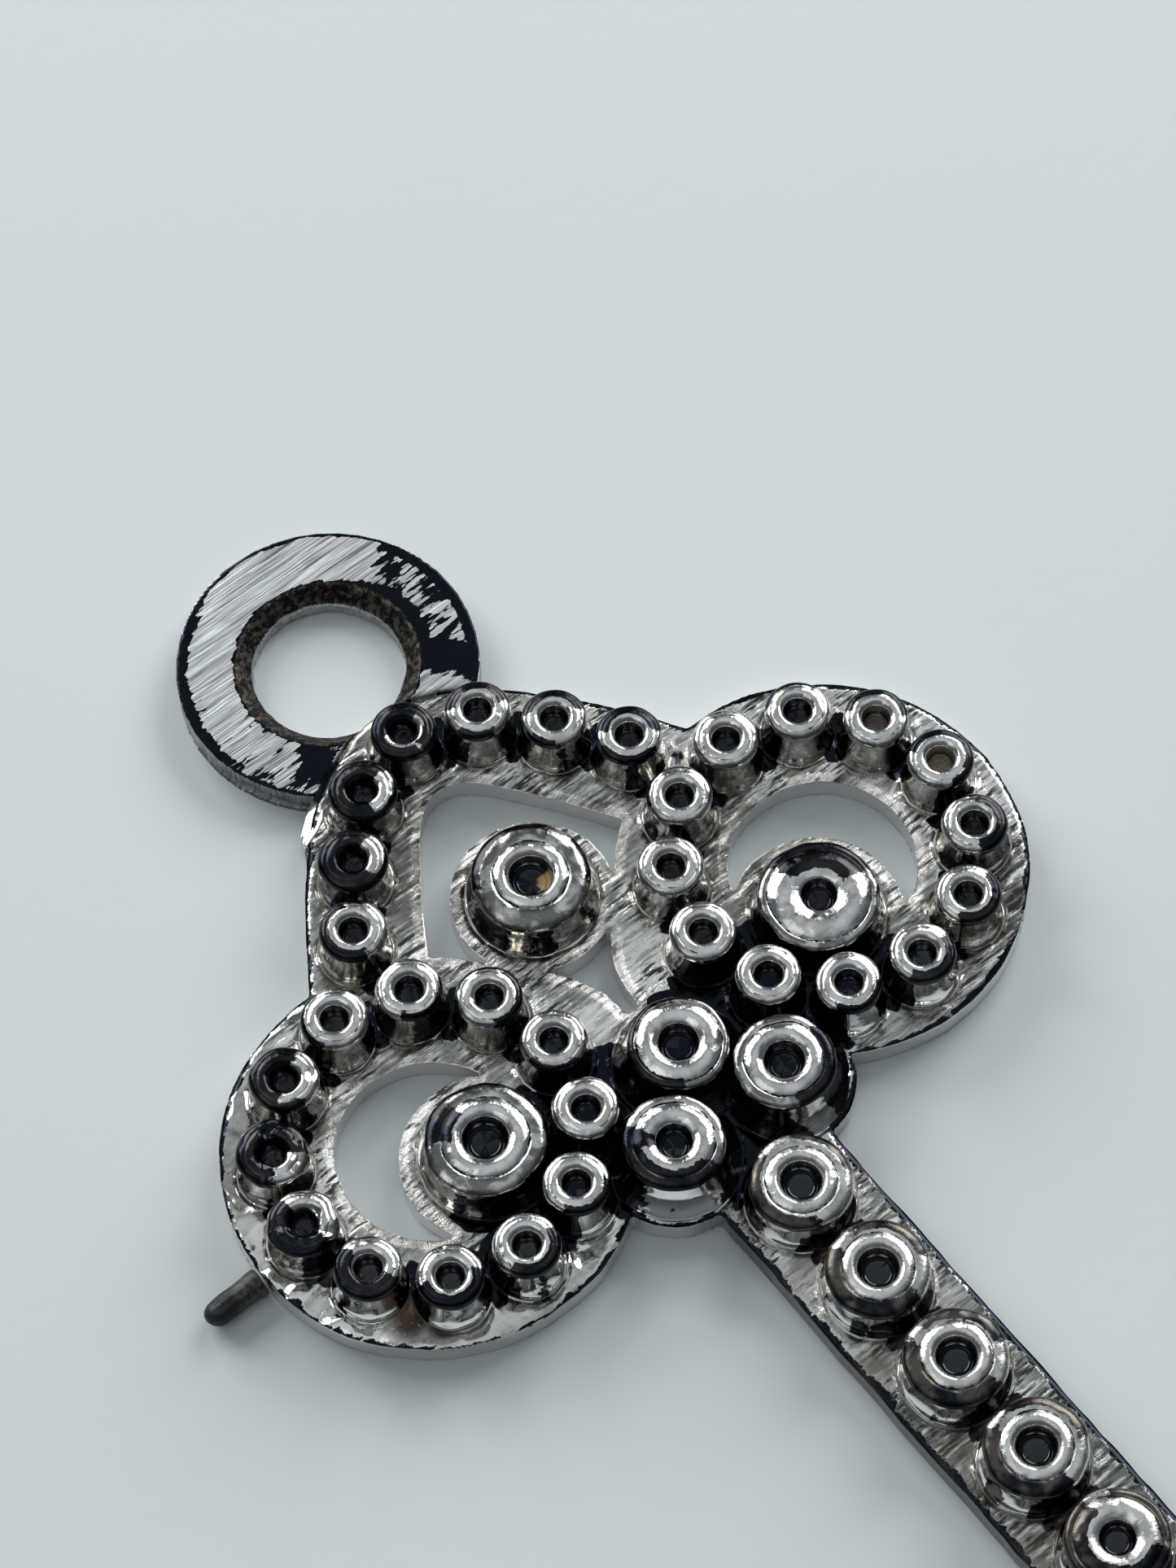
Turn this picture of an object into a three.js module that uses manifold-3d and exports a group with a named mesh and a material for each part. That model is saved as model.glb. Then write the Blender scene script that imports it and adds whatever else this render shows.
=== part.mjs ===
// Ornamental key pendant.
//
// A flat metal plate is cut to the outline of a key: a bow of three round lobes, a straight shaft and
// a small bit. Rows of turned, spool-shaped studs with a dimple in the top stand on it, and a flat
// chamfered ring to hang it by is joined to the top of the bow. Nothing on it moves.
//
// Millimetres, +Z up. The plate lies on Z = 0, the key runs along Y with its ring towards +Y, and the
// origin is the middle of the neck, where the shaft leaves the bow, on the underside.

import * as THREE from 'three';
import { mergeVertices } from 'three/addons/utils/BufferGeometryUtils.js';
import Module from 'manifold-3d';

// ---------------------------------------------------------------- driving dimensions

const pitch = 4.2;                        // radius of the circle of studs on a side lobe
const plateThickness = 0.85;
const ringThickness = 0.95;
const joinGap = 0.05;                     // clearance left where two pieces are soldered together

// Plan places below are in bow coordinates: X = 0 on the key's axis, Y = 0 through the side lobes.
const neckY = -1.5 * pitch;

const lobe = {
  x: 1.612 * pitch,                       // centre, to the right and to the left of the axis
  edge: 1.358 * pitch,                    // outer radius of the plate
  window: 0.62 * pitch,                   // radius of the round window inside the stud circle
  bossX: 1.366 * pitch,
  bossY: -0.258 * pitch,
  bossPad: 0.57 * pitch,                  // disc of plate that carries the boss in the window
  studs: 12,
};

const arch = {
  topY: 2.383 * pitch,                    // the stud at the very top of the row
  step: 0.51 * pitch,                     // distance from one stud of the row to the next
  headings: [21, 46, 53],                 // slope of each step down the row, degrees
  edge: 0.325 * pitch,                    // from the row of studs to the outer edge
  crownEdge: 0.345 * pitch,               // the same at the top stud, where the ring sits
  footX: 1.6 * pitch,                     // where the outer edge runs into the lobe
  footY: 1.31 * pitch,
  baseY: 1.0 * pitch,
  bossY: 1.021 * pitch,
  bossPad: 0.545 * pitch,
};

const archWindow = {
  apexY: 2.02 * pitch,
  shoulderX: 0.25 * pitch,
  shoulderY: 1.9 * pitch,
  bulgeX: 0.57 * pitch,                   // control point of the slightly bowed side
  bulgeY: 1.5 * pitch,
  cornerX: 0.83 * pitch,
  cornerY: 1.07 * pitch,
  floorY: 0.5 * pitch,
};

const neckWindow = {
  halfWidth: 0.05 * pitch,                // at its narrow lower end
  bottomY: -0.03 * pitch,
  topY: 0.55 * pitch,
  sideRadius: 0.75 * pitch,               // each side is an arc about a point beside the axis
};

const web = { halfWidth: 0.52 * pitch, bottomY: -0.6 * pitch, topY: 0.74 * pitch };

const cluster = {
  topY: -0.507 * pitch,
  sideX: 0.448 * pitch,
  sideY: -1.025 * pitch,
  pad: 0.465 * pitch,
};

const shaft = {
  halfWidth: 0.457 * pitch,
  topY: -0.55 * pitch,
  firstY: -1.737 * pitch,
  step: 0.7536 * pitch,
  studs: 9,
};

const bit = {
  teeth: 2,
  toothWidth: 2.9,                        // along the shaft
  toothGap: 1.2,
  reach: 6.6,                             // from the key's axis to the end of a tooth
  rootReach: 2.5,                         // the strip that joins the teeth beside the shaft
  lowestY: -31.9,
  studX: 3.2,
  studsPerTooth: 2,
  studStep: 2.15,
};

const ring = { centreY: 3.244 * pitch, radius: 4.3, bore: 2.17, chamfer: 0.4 };

const stub = { radius: 0.38, base: 0.42, length: 1.78, neck: 0.4 };

// Each stud is turned: a flared foot, a waist and a rounded head with a blind dimple. All stand
// on the top of the plate, and the radii are those of the foot, waist, head, rim and dimple.
const smallStud = {
  height: 1.44, foot: 1.03, waist: 0.7, head: 0.88, rim: 0.6, hole: 0.4, dimple: 0.55, sides: 10,
};
const mediumStud = {
  height: 1.4, foot: 1.55, waist: 1.14, head: 1.4, rim: 0.98, hole: 0.58, dimple: 0.55, sides: 12,
};
const largeStud = {
  height: 1.38, foot: 1.85, waist: 1.38, head: 1.66, rim: 1.05, hole: 0.6, dimple: 0.6, sides: 14,
};

// ---------------------------------------------------------------- materials

const finish = {
  plate: { color: 0x9c9a95, roughness: 0.34, metalness: 1 },
  ring: { color: 0xa9adb0, roughness: 0.42, metalness: 1 },
  stud: { color: 0xb9b7b2, roughness: 0.12, metalness: 1 },
  stub: { color: 0x2b2c2f, roughness: 0.55, metalness: 0.6 },
};

// ---------------------------------------------------------------- solids, joined and cut

const wasm = await Module();
wasm.setup();

function toSolid(geometry) {
  const plain = geometry.clone();
  plain.deleteAttribute('normal');
  plain.deleteAttribute('uv');
  const merged = mergeVertices(plain, 1e-5);
  const mesh = new wasm.Mesh({
    numProp: 3,
    vertProperties: new Float32Array(merged.attributes.position.array),
    triVerts: new Uint32Array(merged.index.array),
  });
  return new wasm.Manifold(mesh);
}

function toGeometry(solid) {
  const mesh = solid.getMesh();
  const geometry = new THREE.BufferGeometry();
  geometry.setAttribute('position', new THREE.BufferAttribute(new Float32Array(mesh.vertProperties), 3));
  geometry.setIndex(new THREE.BufferAttribute(new Uint32Array(mesh.triVerts), 1));
  geometry.computeVertexNormals();
  return geometry;
}

// A flat shape given a thickness, from Z = low upwards.
function slab(shape, thickness = plateThickness, low = 0, curveSegments = 16) {
  const options = { depth: thickness, bevelEnabled: false, curveSegments };
  const geometry = new THREE.ExtrudeGeometry(shape, options);
  geometry.translate(0, 0, low);
  return toSolid(geometry);
}

function disc(x, y, radius, sides, thickness = plateThickness, low = 0) {
  const shape = new THREE.Shape();
  shape.absarc(x, y, radius, 0, 2 * Math.PI);
  return slab(shape, thickness, low, sides);
}

function block(left, right, bottom, top) {
  const corners = [[left, bottom], [right, bottom], [right, top], [left, top]];
  return slab(new THREE.Shape(corners.map(([x, y]) => new THREE.Vector2(x, y))));
}

// A cut goes right through the plate and past both of its faces.
const cutDepth = plateThickness + 2;
const cutLow = -1;

// ---------------------------------------------------------------- places of the studs

const degrees = Math.PI / 180;

// The right half of the arch row, from the top stud down.
function archRow() {
  const places = [new THREE.Vector2(0, arch.topY)];
  for (const heading of arch.headings) {
    const last = places[places.length - 1];
    const turn = heading * degrees;
    places.push(new THREE.Vector2(
      last.x + arch.step * Math.cos(turn),
      last.y - arch.step * Math.sin(turn),
    ));
  }
  return places;
}

function lobePlaces(side) {
  const places = [];
  for (let index = 0; index < lobe.studs; index += 1) {
    const angle = index * 2 * Math.PI / lobe.studs;
    places.push(new THREE.Vector2(
      side * (lobe.x + pitch * Math.cos(angle)),
      pitch * Math.sin(angle),
    ));
  }
  return places;
}

function toothBottom(index) {
  return bit.lowestY + index * (bit.toothWidth + bit.toothGap);
}

// ---------------------------------------------------------------- the plate

// The outer edge of the arch keeps a set distance from its row of studs.
function archOutline(extra = 0) {
  const row = archRow();
  const edge = [new THREE.Vector2(0, arch.topY + arch.crownEdge + extra)];
  for (let index = 1; index < row.length; index += 1) {
    const before = arch.headings[index - 1];
    const after = arch.headings[Math.min(index, arch.headings.length - 1)];
    const slope = degrees * (before + after) / 2;
    edge.push(new THREE.Vector2(
      row[index].x + (arch.edge + extra) * Math.sin(slope),
      row[index].y + (arch.edge + extra) * Math.cos(slope),
    ));
  }
  edge.push(new THREE.Vector2(arch.footX + extra, arch.footY));
  const mirrored = edge.slice(1).reverse().map((point) => new THREE.Vector2(-point.x, point.y));
  const shape = new THREE.Shape();
  shape.moveTo(mirrored[0].x, arch.baseY);
  shape.lineTo(mirrored[0].x, mirrored[0].y);
  shape.splineThru([...mirrored.slice(1), ...edge]);
  shape.lineTo(edge[edge.length - 1].x, arch.baseY);
  return shape;
}

function archWindowShape() {
  const { apexY, shoulderX, shoulderY, bulgeX, bulgeY, cornerX, cornerY, floorY } = archWindow;
  const shape = new THREE.Shape();
  shape.moveTo(cornerX, floorY);
  shape.lineTo(cornerX, cornerY);
  shape.quadraticCurveTo(bulgeX, bulgeY, shoulderX, shoulderY);
  shape.quadraticCurveTo(shoulderX / 2, apexY, 0, apexY);
  shape.quadraticCurveTo(-shoulderX / 2, apexY, -shoulderX, shoulderY);
  shape.quadraticCurveTo(-bulgeX, bulgeY, -cornerX, cornerY);
  shape.lineTo(-cornerX, floorY);
  return shape;
}

function neckWindowShape() {
  const { halfWidth, bottomY, topY, sideRadius } = neckWindow;
  const centreX = halfWidth + sideRadius;
  const rise = Math.asin(topY / sideRadius);
  const shape = new THREE.Shape();
  shape.moveTo(-halfWidth, bottomY);
  shape.lineTo(halfWidth, bottomY);
  shape.absarc(centreX, 0, sideRadius, Math.PI, Math.PI - rise, true);
  shape.absarc(-centreX, 0, sideRadius, rise, 0, true);
  return shape;
}

function keyPlate() {
  let plate = slab(archOutline(), plateThickness, 0, 10);
  plate = plate.subtract(slab(archWindowShape(), cutDepth, cutLow, 8));

  // The two side lobes, the web between them and the scalloped pads of the cluster.
  for (const side of [-1, 1]) {
    plate = plate.add(disc(side * lobe.x, 0, lobe.edge, 56));
    plate = plate.add(disc(side * cluster.sideX, cluster.sideY, cluster.pad, 28));
  }
  plate = plate.add(block(-web.halfWidth, web.halfWidth, web.bottomY, web.topY));

  // The shaft ends in a half-round concentric with its last stud.
  const lastY = shaft.firstY - (shaft.studs - 1) * shaft.step;
  plate = plate.add(block(-shaft.halfWidth, shaft.halfWidth, lastY, shaft.topY));
  plate = plate.add(disc(0, lastY, shaft.halfWidth, 24));

  // The bit: square teeth on a root strip along one side of the shaft.
  const bitTop = toothBottom(bit.teeth - 1) + bit.toothWidth;
  plate = plate.add(block(0, bit.rootReach, bit.lowestY, bitTop));
  for (let index = 0; index < bit.teeth; index += 1) {
    const bottom = toothBottom(index);
    plate = plate.add(block(0, bit.reach, bottom, bottom + bit.toothWidth));
  }

  // The windows, and then the pads that reach into them.
  plate = plate.subtract(slab(neckWindowShape(), cutDepth, cutLow, 8));
  for (const side of [-1, 1]) {
    plate = plate.subtract(disc(side * lobe.x, 0, lobe.window, 36, cutDepth, cutLow));
    plate = plate.add(disc(side * lobe.bossX, lobe.bossY, lobe.bossPad, 32));
  }
  return toGeometry(plate.add(disc(0, arch.bossY, arch.bossPad, 32)));
}

// ---------------------------------------------------------------- the ring, studs and stub

// A flat ring with a chamfered bore, open at the bottom where the crown of the arch fills it.
function hangingRing() {
  const { radius, bore, chamfer, centreY } = ring;
  const section = [
    [bore, 0],
    [radius, 0],
    [radius, ringThickness],
    [bore + chamfer, ringThickness],
    [bore, ringThickness - chamfer],
    [bore, 0],
  ];
  const whole = new THREE.LatheGeometry(section.map(([x, y]) => new THREE.Vector2(x, y)), 44);
  whole.rotateX(Math.PI / 2);
  whole.translate(0, centreY, 0);
  return toGeometry(toSolid(whole).subtract(slab(archOutline(joinGap), cutDepth, cutLow, 10)));
}

function studGeometry(size) {
  const { height, foot, waist, head, rim, hole, dimple, sides } = size;
  const profile = [
    [0, 0],
    [foot, 0],
    [foot * 0.97, height * 0.1],
    [waist, height * 0.34],
    [waist, height * 0.56],
    [head, height * 0.7],
    [head * 0.97, height * 0.85],
    [rim, height],
    [hole, height * 0.9],
    [hole * 0.85, height - dimple],
    [0, height - dimple],
  ];
  const geometry = new THREE.LatheGeometry(profile.map(([x, y]) => new THREE.Vector2(x, y)), sides);
  geometry.rotateX(Math.PI / 2);
  return geometry;
}

// The stub of the casting gate: a short pin with a round end and a spread base.
function stubGeometry() {
  const { radius, base, length, neck } = stub;
  const profile = [new THREE.Vector2(0, 0), new THREE.Vector2(base, 0), new THREE.Vector2(radius, neck)];
  const steps = 4;
  for (let index = 0; index < steps; index += 1) {
    const angle = index / steps * Math.PI / 2;
    profile.push(new THREE.Vector2(radius * Math.cos(angle), length - radius + radius * Math.sin(angle)));
  }
  profile.push(new THREE.Vector2(0, length));
  const geometry = new THREE.LatheGeometry(profile, 12);
  geometry.rotateZ(Math.PI / 2);
  return geometry;
}

// ---------------------------------------------------------------- assembly

const key = new THREE.Group();
key.position.y = -neckY;

const materials = {};
for (const [name, values] of Object.entries(finish)) {
  materials[name] = new THREE.MeshStandardMaterial(values);
}

function place(name, geometry, material, x = 0, y = 0, z = 0) {
  const mesh = new THREE.Mesh(geometry, material);
  mesh.name = name;
  mesh.position.set(x, y, z);
  key.add(mesh);
}

function placeStud(name, geometry, point) {
  place(name, geometry, materials.stud, point.x, point.y, plateThickness);
}

const smallGeometry = studGeometry(smallStud);
const mediumGeometry = studGeometry(mediumStud);
const largeGeometry = studGeometry(largeStud);

place('key_plate', keyPlate(), materials.plate);
place('hanging_ring', hangingRing(), materials.ring);
const stubX = -(lobe.x + lobe.edge + joinGap);
place('gate_stub', stubGeometry(), materials.stub, stubX, 0, plateThickness / 2);

// The arch row runs from its left end over the top to its right end.
const rightArch = archRow();
const leftArch = rightArch.slice(1).reverse().map((point) => new THREE.Vector2(-point.x, point.y));
[...leftArch, ...rightArch].forEach((point, index) => {
  placeStud(`arch_stud_${index + 1}`, smallGeometry, point);
});

for (const [name, side] of [['left', -1], ['right', 1]]) {
  lobePlaces(side).forEach((point, index) => {
    placeStud(`${name}_lobe_stud_${String(index + 1).padStart(2, '0')}`, smallGeometry, point);
  });
  placeStud(`${name}_lobe_boss`, largeGeometry, new THREE.Vector2(side * lobe.bossX, lobe.bossY));
  placeStud(`cluster_stud_${name}`, mediumGeometry, new THREE.Vector2(side * cluster.sideX, cluster.sideY));
}
placeStud('arch_boss', largeGeometry, new THREE.Vector2(0, arch.bossY));
placeStud('cluster_stud_top', mediumGeometry, new THREE.Vector2(0, cluster.topY));

for (let index = 0; index < shaft.studs; index += 1) {
  const point = new THREE.Vector2(0, shaft.firstY - index * shaft.step);
  placeStud(`shaft_stud_${index + 1}`, mediumGeometry, point);
}

for (let tooth = 0; tooth < bit.teeth; tooth += 1) {
  for (let index = 0; index < bit.studsPerTooth; index += 1) {
    const x = bit.studX + index * bit.studStep;
    const y = toothBottom(tooth) + bit.toothWidth / 2;
    placeStud(`bit_stud_${tooth + 1}_${index + 1}`, smallGeometry, new THREE.Vector2(x, y));
  }
}

export default key;
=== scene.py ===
"""Looks for the ornamental key pendant: a filed white-metal plate with a hanging ring and rows of
turned, dimpled studs, half polished and half covered by their black plating.

Lengths here are millimetres unless a name says otherwise; MM turns them into Blender's metres.
Directions on the key are degrees counted from +X towards +Y (the ring's end).
"""

import math

import bmesh
import bpy
import numpy as np
from mathutils import Matrix, Vector
from mathutils.kdtree import KDTree


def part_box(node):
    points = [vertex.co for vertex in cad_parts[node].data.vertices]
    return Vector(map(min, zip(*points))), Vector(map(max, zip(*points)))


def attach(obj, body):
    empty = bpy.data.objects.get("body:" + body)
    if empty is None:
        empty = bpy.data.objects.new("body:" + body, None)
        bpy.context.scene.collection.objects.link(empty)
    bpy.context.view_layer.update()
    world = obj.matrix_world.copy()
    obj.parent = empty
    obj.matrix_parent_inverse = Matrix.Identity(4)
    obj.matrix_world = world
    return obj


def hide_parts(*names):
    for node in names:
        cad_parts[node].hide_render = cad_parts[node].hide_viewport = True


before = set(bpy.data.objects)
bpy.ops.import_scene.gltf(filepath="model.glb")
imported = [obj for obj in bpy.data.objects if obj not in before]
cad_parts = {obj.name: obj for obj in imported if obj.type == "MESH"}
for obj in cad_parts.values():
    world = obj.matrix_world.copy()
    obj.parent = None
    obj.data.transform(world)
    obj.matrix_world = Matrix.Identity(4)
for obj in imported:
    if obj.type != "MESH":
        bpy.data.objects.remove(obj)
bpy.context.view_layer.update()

MM = 0.001
PITCH = 4.2                                # radius of a side lobe's circle of studs
PLATE_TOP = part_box("key_plate")[1].z / MM
LOBE_X = 1.612 * PITCH                     # the side lobes' centres, to the left and right of the middle
BOW_Y = 1.5 * PITCH                        # the side lobes' centres, above the neck
RING_Y = 3.244 * PITCH + BOW_Y             # the ring's centre
RING_RADIUS = 4.3
RING_BORE = 2.17
RING_CHAMFER = 0.4


# ------------------------------------------------------------------ numbers that repeat the same way

def lattice(cell, seed):
    """A steady pseudo-random number from -1 to 1 for each whole-number cell, an (n, 3) array.

    The large odd factors and the shifts only scatter neighbouring cells.
    """
    mixed = cell[:, 0] * 374761393 + cell[:, 1] * 668265263 + cell[:, 2] * 974634777 + seed * 1274126177
    mixed = mixed & 0x7FFFFFFF
    mixed = ((mixed ^ (mixed >> 13)) * 1274126177) & 0x7FFFFFFF
    mixed = mixed ^ (mixed >> 16)
    return (mixed & 0xFFFFFF) / float(0x7FFFFF) - 1.0


def noise(points, size, seed=0):
    """Smooth noise from -1 to 1 at (n, 3) points, with features about size across."""
    scaled = np.asarray(points, float) / size
    cell = np.floor(scaled).astype(np.int64)
    part = scaled - cell
    part = part * part * (3.0 - 2.0 * part)
    total = np.zeros(len(scaled))
    for corner in range(8):
        step = np.array([corner & 1, corner >> 1 & 1, corner >> 2 & 1])
        weight = np.prod(np.where(step == 1, part, 1.0 - part), axis=1)
        total += weight * lattice(cell + step, seed)
    return total


def ramp(values, low, high):
    """0 below low, 1 above high and a smooth step between. low may be the larger one."""
    t = np.clip((values - low) / (high - low), 0.0, 1.0)
    return t * t * (3.0 - 2.0 * t)


def turned_from(angles, direction):
    """How far angles are from direction, in degrees, 0 to 180."""
    return np.abs((angles - direction + 180.0) % 360.0 - 180.0)


# ------------------------------------------------------------------ meshes

def new_piece(name, points_mm, faces, replaces):
    """A smooth-shaded mesh piece in millimetres that stands for a CAD node and rides on the one body."""
    mesh = bpy.data.meshes.new(name)
    mesh.from_pydata((np.asarray(points_mm) * MM).tolist(), [], faces)
    mesh.polygons.foreach_set("use_smooth", [True] * len(mesh.polygons))
    mesh.update()
    piece = bpy.data.objects.new(name, mesh)
    bpy.context.scene.collection.objects.link(piece)
    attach(piece, "root")
    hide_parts(replaces)
    return piece


def paint(piece, name, values):
    """Stores one number per vertex for the material to read."""
    layer = piece.data.attributes.new(name, "FLOAT", "POINT")
    layer.data.foreach_set("value", np.asarray(values, np.float32))


def read_vectors(mesh, name):
    """Every vertex's place ("co") or direction ("normal"), as an (n, 3) array."""
    flat = np.zeros(len(mesh.vertices) * 3, np.float32)
    mesh.vertices.foreach_get(name, flat)
    return flat.reshape(-1, 3).astype(float)


def fine_copy(node, voxel):
    """The CAD node's shape as an even fine mesh, in millimetres: its points, normals and faces."""
    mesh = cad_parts[node].data.copy()
    scratch = bpy.data.objects.new("scratch", mesh)
    bpy.context.scene.collection.objects.link(scratch)
    weld = bmesh.new()
    weld.from_mesh(mesh)
    bmesh.ops.remove_doubles(weld, verts=weld.verts, dist=1e-7)
    weld.to_mesh(mesh)
    weld.free()
    mesh.transform(Matrix.Scale(1.0 / MM, 4))
    remesh = scratch.modifiers.new("even", "REMESH")
    remesh.mode = "VOXEL"
    remesh.voxel_size = voxel
    graph = bpy.context.evaluated_depsgraph_get()
    fine = bpy.data.meshes.new_from_object(scratch.evaluated_get(graph))
    bpy.data.objects.remove(scratch)
    points = read_vectors(fine, "co")
    normals = read_vectors(fine, "normal")
    faces = [tuple(polygon.vertices) for polygon in fine.polygons]
    bpy.data.meshes.remove(fine)
    return points, normals, faces


# ------------------------------------------------------------------ material nodes

class Tree:
    """A short way to write a material's nodes."""

    def __init__(self, name):
        self.material = bpy.data.materials.new(name)
        self.material.use_nodes = True
        self.nodes = self.material.node_tree.nodes
        self.links = self.material.node_tree.links
        self.shader = self.nodes["Principled BSDF"]
        coordinates = self.nodes.new("ShaderNodeTexCoord")
        self.millimetres = self.scaled(coordinates.outputs["Object"], (1.0 / MM,) * 3)

    def put(self, socket, value):
        """Links an output to an input, or sets the input to a number or colour."""
        if isinstance(value, bpy.types.NodeSocket):
            self.links.new(value, socket)
        else:
            socket.default_value = value

    def scaled(self, vector, scale, turn=0.0):
        node = self.nodes.new("ShaderNodeMapping")
        self.links.new(vector, node.inputs["Vector"])
        node.inputs["Scale"].default_value = scale
        node.inputs["Rotation"].default_value = (0.0, 0.0, math.radians(turn))
        return node.outputs["Vector"]

    def noise(self, vector, scale, detail=2.0, roughness=0.5, distortion=0.0):
        node = self.nodes.new("ShaderNodeTexNoise")
        self.links.new(vector, node.inputs["Vector"])
        node.inputs["Scale"].default_value = scale
        node.inputs["Detail"].default_value = detail
        node.inputs["Roughness"].default_value = roughness
        node.inputs["Distortion"].default_value = distortion
        return node.outputs["Fac"]

    def attribute(self, name):
        node = self.nodes.new("ShaderNodeAttribute")
        node.attribute_name = name
        return node.outputs["Fac"]

    def math(self, operation, first, second=0.0):
        node = self.nodes.new("ShaderNodeMath")
        node.operation = operation
        self.put(node.inputs[0], first)
        self.put(node.inputs[1], second)
        return node.outputs[0]

    def plus(self, first, second):
        return self.math("ADD", first, second)

    def times(self, first, second):
        return self.math("MULTIPLY", first, second)

    def swing(self, texture, middle, amount):
        """How far a texture is above its middle value, times amount."""
        return self.times(self.math("SUBTRACT", texture, middle), amount)

    def step(self, value, low, high, to_low=0.0, to_high=1.0):
        """Smooth step of value between low and high, onto to_low and to_high."""
        node = self.nodes.new("ShaderNodeMapRange")
        node.interpolation_type = "SMOOTHSTEP"
        self.put(node.inputs["Value"], value)
        node.inputs["From Min"].default_value = low
        node.inputs["From Max"].default_value = high
        node.inputs["To Min"].default_value = to_low
        node.inputs["To Max"].default_value = to_high
        return node.outputs["Result"]

    def mix(self, factor, first, second):
        """Colours first and second, mixed by factor."""
        node = self.nodes.new("ShaderNodeMix")
        node.data_type = "RGBA"
        self.put(node.inputs["Factor"], factor)
        self.put(node.inputs["A"], first)
        self.put(node.inputs["B"], second)
        return node.outputs["Result"]

    def blend(self, factor, first, second):
        """Numbers first and second, mixed by factor."""
        node = self.nodes.new("ShaderNodeMix")
        self.put(node.inputs["Factor"], factor)
        self.put(node.inputs["A"], first)
        self.put(node.inputs["B"], second)
        return node.outputs["Result"]

    def bump(self, height, depth_mm, strength=1.0, under=None):
        node = self.nodes.new("ShaderNodeBump")
        self.links.new(height, node.inputs["Height"])
        node.inputs["Distance"].default_value = depth_mm * MM
        self.put(node.inputs["Strength"], strength)
        if under is not None:
            self.links.new(under, node.inputs["Normal"])
        return node.outputs["Normal"]

    def finish(self, colour, roughness, metallic, normal=None):
        self.put(self.shader.inputs["Base Color"], colour)
        self.put(self.shader.inputs["Roughness"], roughness)
        self.put(self.shader.inputs["Metallic"], metallic)
        if normal is not None:
            self.links.new(normal, self.shader.inputs["Normal"])
        return self.material


# Metal, black plating and dirt that several pieces share.
BRIGHT = (0.74, 0.72, 0.69, 1.0)
BLACK = (0.014, 0.016, 0.022, 1.0)
BROWN = (0.085, 0.05, 0.028, 1.0)
# The plate: its land, dull to polished with painted sheen and painted shade, the strokes of the file on it,
# and its sides in the open and beside the shaft.
LAND_DULL_AND_SHADED = (0.26, 0.257, 0.228, 1.0)
LAND_POLISHED_AND_SHEEN = (0.93, 0.91, 0.87, 1.0)
STROKE_DARK = (0.07, 0.07, 0.066, 1.0)
STROKE_BRIGHT = (0.97, 0.96, 0.93, 1.0)
SIDE_PALE = (0.80, 0.81, 0.82, 1.0)
SIDE_SHADED = (0.15, 0.14, 0.13, 1.0)
# The ring: its filed top, its dull chamfer and its bore.
RING_DARK = (0.16, 0.165, 0.17, 1.0)
RING_LIGHT = (0.46, 0.475, 0.48, 1.0)
CHAMFER_BLACK = (0.014, 0.013, 0.013, 1.0)
CHAMFER_BROWN = (0.10, 0.088, 0.072, 1.0)
BORE_LIGHT = (0.56, 0.57, 0.57, 1.0)
BORE_BROWN = (0.30, 0.29, 0.27, 1.0)
# The solder at the end of the ring's seam.
SOLDER_LIGHT = (0.86, 0.85, 0.83, 1.0)
SOLDER_DARK = (0.62, 0.61, 0.59, 1.0)
# The studs: heads, walls, worn plating, and what is left in their holes.
HEAD_LIGHT = (0.80, 0.79, 0.77, 1.0)
HEAD_DARK = (0.56, 0.55, 0.525, 1.0)
TARNISH = (0.15, 0.148, 0.142, 1.0)
WALL = (0.36, 0.335, 0.285, 1.0)
# Bare walls: clean metal, painted near-white as a painted reflection.
BARE_LIT_LIGHT = (0.97, 0.97, 0.95, 1.0)
BARE_LIT_DARK = (0.86, 0.85, 0.82, 1.0)
WORN_BLACK = (0.115, 0.102, 0.088, 1.0)
COMPOUND_DARK = (0.36, 0.23, 0.08, 1.0)
COMPOUND_LIGHT = (0.50, 0.36, 0.16, 1.0)
FILTH_DARK = (0.14, 0.11, 0.075, 1.0)
FILTH_LIGHT = (0.24, 0.20, 0.14, 1.0)
# The stub: its cast skin and its black tip.
CAST_DARK = (0.035, 0.034, 0.033, 1.0)
CAST_LIGHT = (0.13, 0.125, 0.115, 1.0)
TIP_DARK = (0.010, 0.011, 0.014, 1.0)
TIP_LIGHT = (0.03, 0.031, 0.034, 1.0)
# The floor.
BOARD_LIGHT = (0.635, 0.67, 0.675, 1.0)
BOARD_DARK = (0.615, 0.65, 0.655, 1.0)


def file_marks(tree, along, across):
    """Heights of hand file marks, which run across the key, at two slants, with coarse scores.

    along and across are how many marks there are to a millimetre in their own direction and over it.
    """
    def strokes(length, width, slant, detail, roughness):
        return tree.noise(tree.scaled(tree.millimetres, (length, width, 1.0), slant), 1.0, detail, roughness)

    fine = strokes(along, across, 4.0, 3.0, 0.6)
    slanted = strokes(1.6 * along, 0.8 * across, -13.0, 2.0, 0.6)
    coarse = strokes(0.3, 5.0, 2.0, 2.0, 0.5)
    return tree.plus(tree.times(fine, 0.5), tree.plus(tree.times(slanted, 0.25), tree.times(coarse, 0.35)))


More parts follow.
